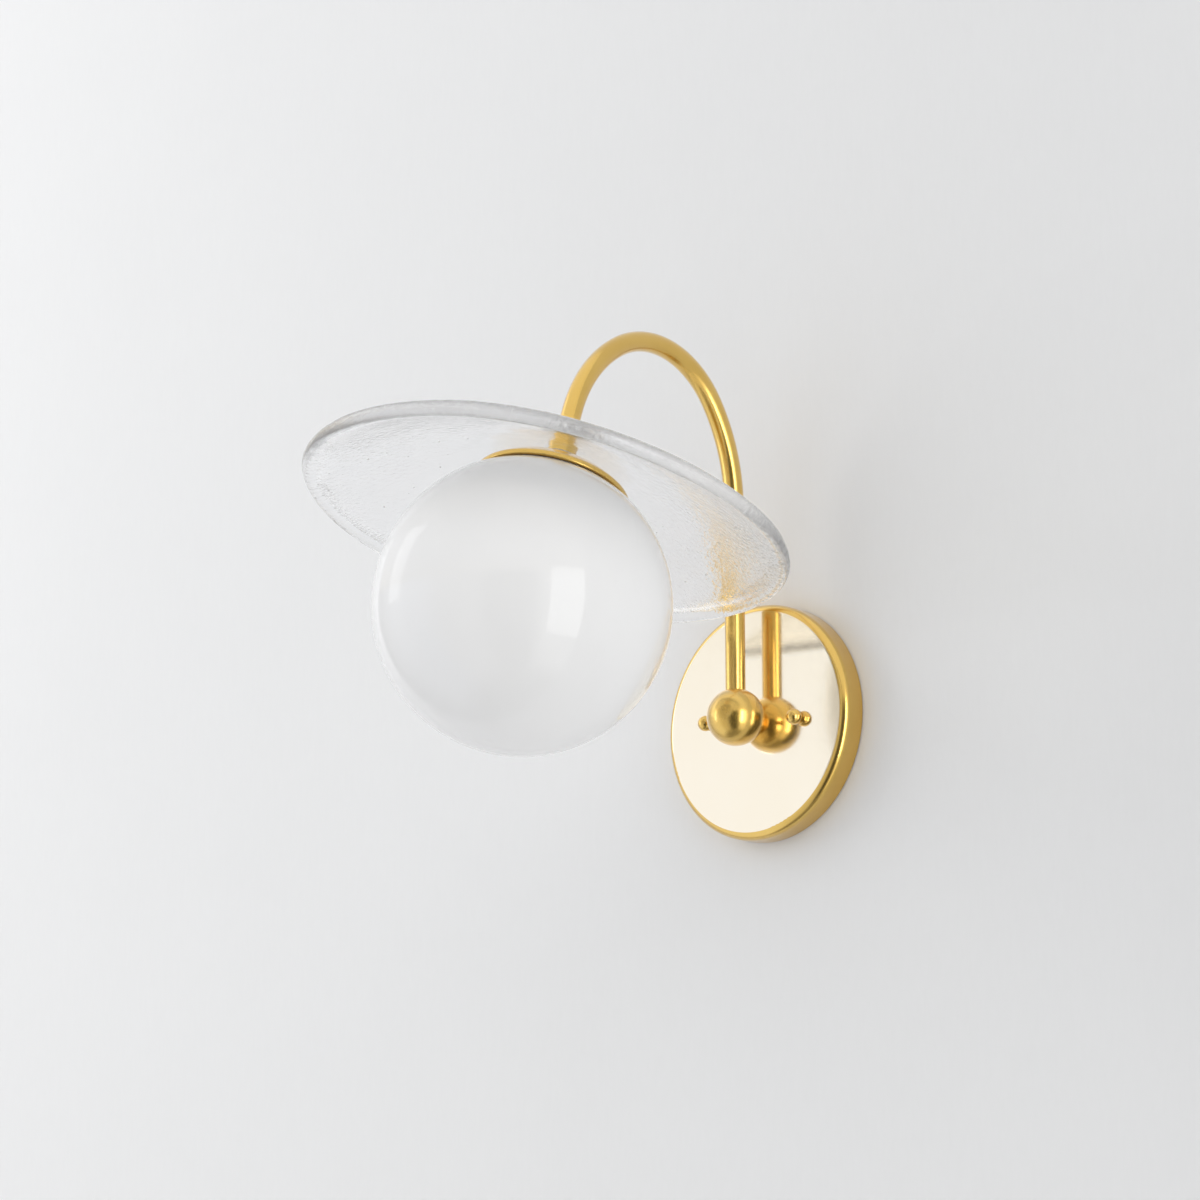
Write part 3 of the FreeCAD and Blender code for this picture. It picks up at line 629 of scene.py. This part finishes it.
def phosphor():
    finish, tree, shader, place = new_finish("phosphor")
    powder = blend_colours(tree, cloud(tree, place, 0.0006, 5.0), (0.80, 0.66, 0.30), (0.90, 0.80, 0.48))
    tree.links.new(powder, shader.inputs["Base Color"])
    tree.links.new(spread(tree, cloud(tree, place, 0.001), 0.5, 0.8), shader.inputs["Roughness"])
    add_bump(tree, shader, cloud(tree, place, 0.0004), 0.00002)
    return finish


dress(ceramic, "lamp_base")
dress(zinc, "lamp_pins")
dress(lamp_glass(), "lamp_glass")
dress(phosphor(), "lamp_element")


# ---------------------------------------------------------------- lead, cores and connectors
# Lead in a pale plastic sheath, laid through the arm, with its two cores behind the plate. There a
# moulded orange connector with ribbed sides is twisted on the end of each core.
def sheath_plastic():
    finish, tree, shader, place = new_finish("sheath_plastic", Coat_Weight=0.3, Coat_Roughness=0.25)
    skin = blend_colours(tree, cloud(tree, place, 0.004), (0.72, 0.70, 0.64), (0.80, 0.78, 0.72))
    tree.links.new(skin, shader.inputs["Base Color"])
    tree.links.new(spread(tree, cloud(tree, place, 0.001), 0.35, 0.5), shader.inputs["Roughness"])
    add_bump(tree, shader, cloud(tree, place, 0.0006), 0.00001)
    return finish


def moulded_orange():
    finish, tree, shader, place = new_finish("moulded_orange")
    skin = blend_colours(tree, cloud(tree, place, 0.003), (0.70, 0.20, 0.03), (0.80, 0.26, 0.05))
    tree.links.new(skin, shader.inputs["Base Color"])
    tree.links.new(spread(tree, cloud(tree, place, 0.0012), 0.34, 0.5), shader.inputs["Roughness"])
    add_bump(tree, shader, cloud(tree, place, 0.0004), 0.00002)
    return finish


connector_taper = 0.62          # radius of the closed end, as a share of the open end's
connector_sides = 32            # every second one carries a rib
connector_edge = 0.00012        # round on the edges
rib_height = 0.0003
rib_inset = 0.0001
skirt_wall = 0.0009
skirt_depth = 0.006


def twist_connector(name):
    """Tapered moulding with raised ribs down its side and a hollow skirt round the wire."""
    low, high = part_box(name)
    middle = (low + high) / 2
    wide = (high.x - low.x) / 2
    clear_selection()
    bpy.ops.mesh.primitive_cone_add(vertices=connector_sides, radius1=connector_taper * wide,
                                    radius2=wide, depth=high.z - low.z, location=middle)
    moulding = bpy.context.object
    moulding.name = name + "_ribbed"
    bpy.ops.object.mode_set(mode="EDIT")
    bpy.ops.mesh.select_mode(type="FACE")
    bpy.ops.object.mode_set(mode="OBJECT")
    sides = [face for face in moulding.data.polygons if abs(face.normal.z) < 0.9]
    for face in moulding.data.polygons:
        face.select = False
    for place, face in enumerate(sides):
        face.select = place % 2 == 0
    bpy.ops.object.mode_set(mode="EDIT")
    bpy.ops.mesh.inset(thickness=rib_inset, use_individual=True)
    bpy.ops.mesh.extrude_region_shrink_fatten(TRANSFORM_OT_shrink_fatten={"value": rib_height})
    bpy.ops.object.mode_set(mode="OBJECT")
    for face in moulding.data.polygons:
        face.select = face.normal.z > 0.9 and len(face.vertices) > 8
    bpy.ops.object.mode_set(mode="EDIT")
    bpy.ops.mesh.inset(thickness=skirt_wall)
    bpy.ops.mesh.extrude_region_move(TRANSFORM_OT_translate={"value": (0, 0, -skirt_depth)})
    bpy.ops.object.mode_set(mode="OBJECT")
    edge = moulding.modifiers.new("edge", "BEVEL")
    edge.width = connector_edge
    edge.segments = 2
    edge.limit_method = "ANGLE"
    edge.angle_limit = math.radians(40)
    bpy.ops.object.modifier_apply(modifier=edge.name)
    settle(moulding, 45)
    return moulding


sheath = sheath_plastic()
dress(sheath, "lamp_lead", "left_core", "right_core")
orange = moulded_orange()
for connector_name in ("left_connector", "right_connector"):
    connector = twist_connector(connector_name)
    finish_piece(connector, orange, "connector_plastic", "fixture", connector_name)


# ---------------------------------------------------------------- wall, floor, light and camera
# A pale painted wall behind the plate and a pale floor well below, each see-through from its back. The
# wall has a round opening for the wall box, which the plate covers and which lets light into the plate.
stage_size = 7.0
wall_place = (0, 0.0006, 1.6)
floor_place = (0, -3.4, -1.3)
box_opening_radius = 0.057


def stage_paint(name, colour):
    """Rolled paint, see-through from its back and where the wall box is."""
    finish, tree, shader, place = new_finish(name)
    rolled = cloud(tree, stretch(tree, place, (2.2, 2.2, 0.35)), 0.004, 4.0)
    patch = cloud(tree, place, 0.12, 3.0)
    mix = add_node(tree, "Math", operation="ADD")
    tree.links.new(rolled, mix.inputs[0])
    tree.links.new(patch, mix.inputs[1])
    half = add_node(tree, "Math", {1: 0.5}, operation="MULTIPLY")
    tree.links.new(mix.outputs[0], half.inputs[0])
    darker = tuple(0.985 * c for c in colour)
    tree.links.new(blend_colours(tree, half.outputs[0], darker, colour), shader.inputs["Base Color"])
    shader.inputs["Roughness"].default_value = 0.75
    add_bump(tree, shader, rolled, 0.00012)
    seen = add_node(tree, "NewGeometry")
    from_box = add_node(tree, "VectorMath", operation="LENGTH")
    tree.links.new(place, from_box.inputs[0])
    opening = add_node(tree, "Math", {1: box_opening_radius}, operation="LESS_THAN")
    tree.links.new(from_box.outputs["Value"], opening.inputs[0])
    open_part = add_node(tree, "Math", operation="MAXIMUM")
    tree.links.new(seen.outputs["Backfacing"], open_part.inputs[0])
    tree.links.new(opening.outputs[0], open_part.inputs[1])
    hole = add_node(tree, "BsdfTransparent")
    choose = add_node(tree, "MixShader")
    tree.links.new(open_part.outputs[0], choose.inputs[0])
    tree.links.new(shader.outputs[0], choose.inputs[1])
    tree.links.new(hole.outputs[0], choose.inputs[2])
    tree.links.new(choose.outputs[0], tree.nodes["Material Output"].inputs["Surface"])
    return finish


def stage_plane(name, size, place, turn, finish):
    clear_selection()
    bpy.ops.mesh.primitive_plane_add(size=size, location=place, rotation=turn)
    plane = bpy.context.object
    plane.name = name
    bpy.ops.object.transform_apply(location=True, rotation=True, scale=True)
    plane.data.materials.append(finish)
    return plane


wall = stage_plane("stage_wall", stage_size, wall_place, (math.radians(90), 0, 0),
                   stage_paint("wall_paint", (0.870, 0.873, 0.877)))
floor = stage_plane("stage_floor", stage_size, floor_place, (0, 0, 0),
                    stage_paint("floor_paint", (0.70, 0.70, 0.70)))
# the screens show in the brass and through the glass, and the floor doesn't hide them
floor.visible_glossy = False
floor.visible_transmission = False


def studio_world():
    """Pale room whose level depends on the direction: a white screen at the left in front, a dark gap
    between the screens to the right of the middle, and a calmer ceiling and floor."""
    world = bpy.data.worlds.new("studio")
    bpy.context.scene.world = world
    world.use_nodes = True
    tree = world.node_tree
    glow = tree.nodes["Background"]
    place = add_node(tree, "TexCoord")
    axes = add_node(tree, "SeparateXYZ")
    tree.links.new(place.outputs["Generated"], axes.inputs["Vector"])
    forward = add_node(tree, "Math", {1: -1.0}, operation="MULTIPLY")
    tree.links.new(axes.outputs["Y"], forward.inputs[0])
    around = add_node(tree, "Math", operation="ARCTAN2")
    tree.links.new(axes.outputs["X"], around.inputs[0])
    tree.links.new(forward.outputs[0], around.inputs[1])
    share = add_node(tree, "MapRange", {"From Min": -math.pi, "From Max": math.pi})
    tree.links.new(around.outputs[0], share.inputs["Value"])

    def level_ramp(value, stops):
        ramp = add_node(tree, "ValToRGB")
        for _ in stops[2:]:
            ramp.color_ramp.elements.new(1.0)
        for element, (position, level, *warmth) in zip(ramp.color_ramp.elements, stops):
            element.position = position
            warm = warmth[0] if warmth else 0.0
            element.color = (level, level * (1 - 0.3 * warm), level * (1 - warm), 1)
        tree.links.new(value, ramp.inputs["Fac"])
        return ramp.outputs["Color"]

    # degrees round from straight in front of the wall, towards +X, the level there and any warmth
    screens = ((-110, 0.50), (-88, 0.55), (-64, 1.06, -0.08), (-46, 1.045, -0.15), (-34, 1.04, -0.15),
               (-20, 0.82), (0, 0.76), (12, 0.55), (18, 0.10), (52, 0.10), (58, 0.70), (66, 1.20),
               (100, 1.10), (125, 0.55))
    level = level_ramp(share.outputs["Result"], [((turn + 180) / 360, *values) for turn, *values in screens])
    height = add_node(tree, "MapRange", {"From Min": -1.0, "From Max": 1.0})
    tree.links.new(axes.outputs["Z"], height.inputs["Value"])
    # by height, from 0 straight down to 1 straight up: the screens' share, and the level of the rest
    between = level_ramp(height.outputs["Result"], ((0.04, 0.0), (0.10, 1.0), (0.615, 1.0), (0.625, 0.0)))
    room = level_ramp(height.outputs["Result"], ((0.0, 0.30), (0.60, 0.78, 0.2), (0.66, 0.88, 0.08),
                                                 (0.72, 0.98), (1.0, 1.05)))
    choose = add_node(tree, "Mix", data_type="RGBA")
    tree.links.new(between, choose.inputs["Factor"])
    tree.links.new(room, choose.inputs[6])
    tree.links.new(level, choose.inputs[7])
    # the gap is left out of what is seen through glass, so that thick edges stay light
    path = add_node(tree, "LightPath")
    clear = add_node(tree, "Mix", {7: (0.96, 0.95, 0.93, 1)}, data_type="RGBA")
    tree.links.new(path.outputs["Is Transmission Ray"], clear.inputs["Factor"])
    tree.links.new(choose.outputs[2], clear.inputs[6])
    # what the camera sees past the stage is a plain pale backdrop
    backdrop = add_node(tree, "Mix", {7: (0.85, 0.85, 0.85, 1)}, data_type="RGBA")
    tree.links.new(path.outputs["Is Camera Ray"], backdrop.inputs["Factor"])
    tree.links.new(clear.outputs[2], backdrop.inputs[6])
    tree.links.new(backdrop.outputs[2], glow.inputs["Color"])


studio_world()


def area_light(name, place, aim, width, height, level, mirrored=True):
    """Soft box of a given brightness, where 1 looks white."""
    lamp = bpy.data.lights.new(name, "AREA")
    lamp.shape = "RECTANGLE"
    lamp.size = width
    lamp.size_y = height
    lamp.energy = level * math.pi * width * height
    holder = bpy.data.objects.new(name, lamp)
    holder.location = place
    holder.rotation_euler = (Vector(aim) - Vector(place)).to_track_quat("-Z", "Y").to_euler()
    holder.visible_glossy = mirrored
    holder.visible_transmission = mirrored
    bpy.context.collection.objects.link(holder)
    return holder


key_place = (-2.05, -0.84, 0.72)
window_place = (-1.628, -0.904, 0.94)
box_place = (1.178, -0.408, -0.127)
core_right_place = (1.135, -0.49, -0.127)
core_left_place = (-1.10, -1.12, 0.12)
arm_foot = (0, -0.1, 0)
middle = (0, -0.05, 0.02)
area_light("key_left", key_place, middle, 0.75, 1.55, 1.7, mirrored=False)
wall_left = area_light("wall_left", key_place, middle, 0.75, 1.55, 2.25, mirrored=False)
window_left = area_light("window_left", window_place, globe_centre, 0.53, 1.46, 0.7)
window_left.visible_transmission = False
rim_left = area_light("rim_left", window_place, globe_centre, 0.09, 1.46, 7.0)
box_right = area_light("box_right", box_place, globe_centre, 0.56, 1.07, 1.3)
core_right = area_light("core_right", core_right_place, arm_foot, 0.16, 1.0, 5.0)
core_left = area_light("core_left", core_left_place, arm_foot, 0.20, 0.9, 2.0)


def light_only(lamp, *pieces, leave_out=False):
    """Lets a lamp light only these pieces, or everything but them."""
    linked = bpy.data.collections.new(lamp.name + "_receivers")
    for piece in pieces:
        linked.objects.link(piece)
    for receiver in linked.collection_objects:
        receiver.light_linking.link_state = "EXCLUDE" if leave_out else "INCLUDE"
    lamp.light_linking.receiver_collection = linked


# The box stands close to the wall and would wash it out, and more of the key is wanted on the wall than
# on the white globe. The cores are narrow strips for the brass, and the rim strip for the glass.
brass_names = ("arm_tube", "arm_collar", "hub_ball", "left_ball_nut", "right_ball_nut")
brass_pieces = [cap] + [frame["nodes"][name] for name in brass_names]
light_only(box_right, wall, floor, leave_out=True)
light_only(core_right, frame["nodes"]["backplate"], *brass_pieces)
light_only(core_left, *brass_pieces)
light_only(rim_left, shade)
light_only(wall_left, wall, floor)

# Thick clear glass leads light round inside its lip, so the paths are let run longer than usual.
paths = bpy.context.scene.cycles
paths.glossy_bounces = 24
paths.transmission_bounces = 24
paths.max_bounces = 32

camera = bpy.data.cameras.new("camera")
camera.sensor_width = 36.0
camera.lens = 112.27
camera.clip_end = 20.0
eye = bpy.data.objects.new("camera", camera)
camera_right = Vector((0.718907, 0.695107, 0.0))
camera_up = Vector((0.161210, -0.166730, 0.972735))
camera_back = Vector((0.676154, -0.699305, -0.231921))
camera_place = Vector((1.2323146, -1.3997863, -0.3789527))
turn = Matrix((camera_right, camera_up, camera_back)).transposed().to_4x4()
turn.translation = camera_place
eye.matrix_world = turn
bpy.context.collection.objects.link(eye)
bpy.context.scene.camera = eye
bpy.context.scene.view_settings.view_transform = "Standard"
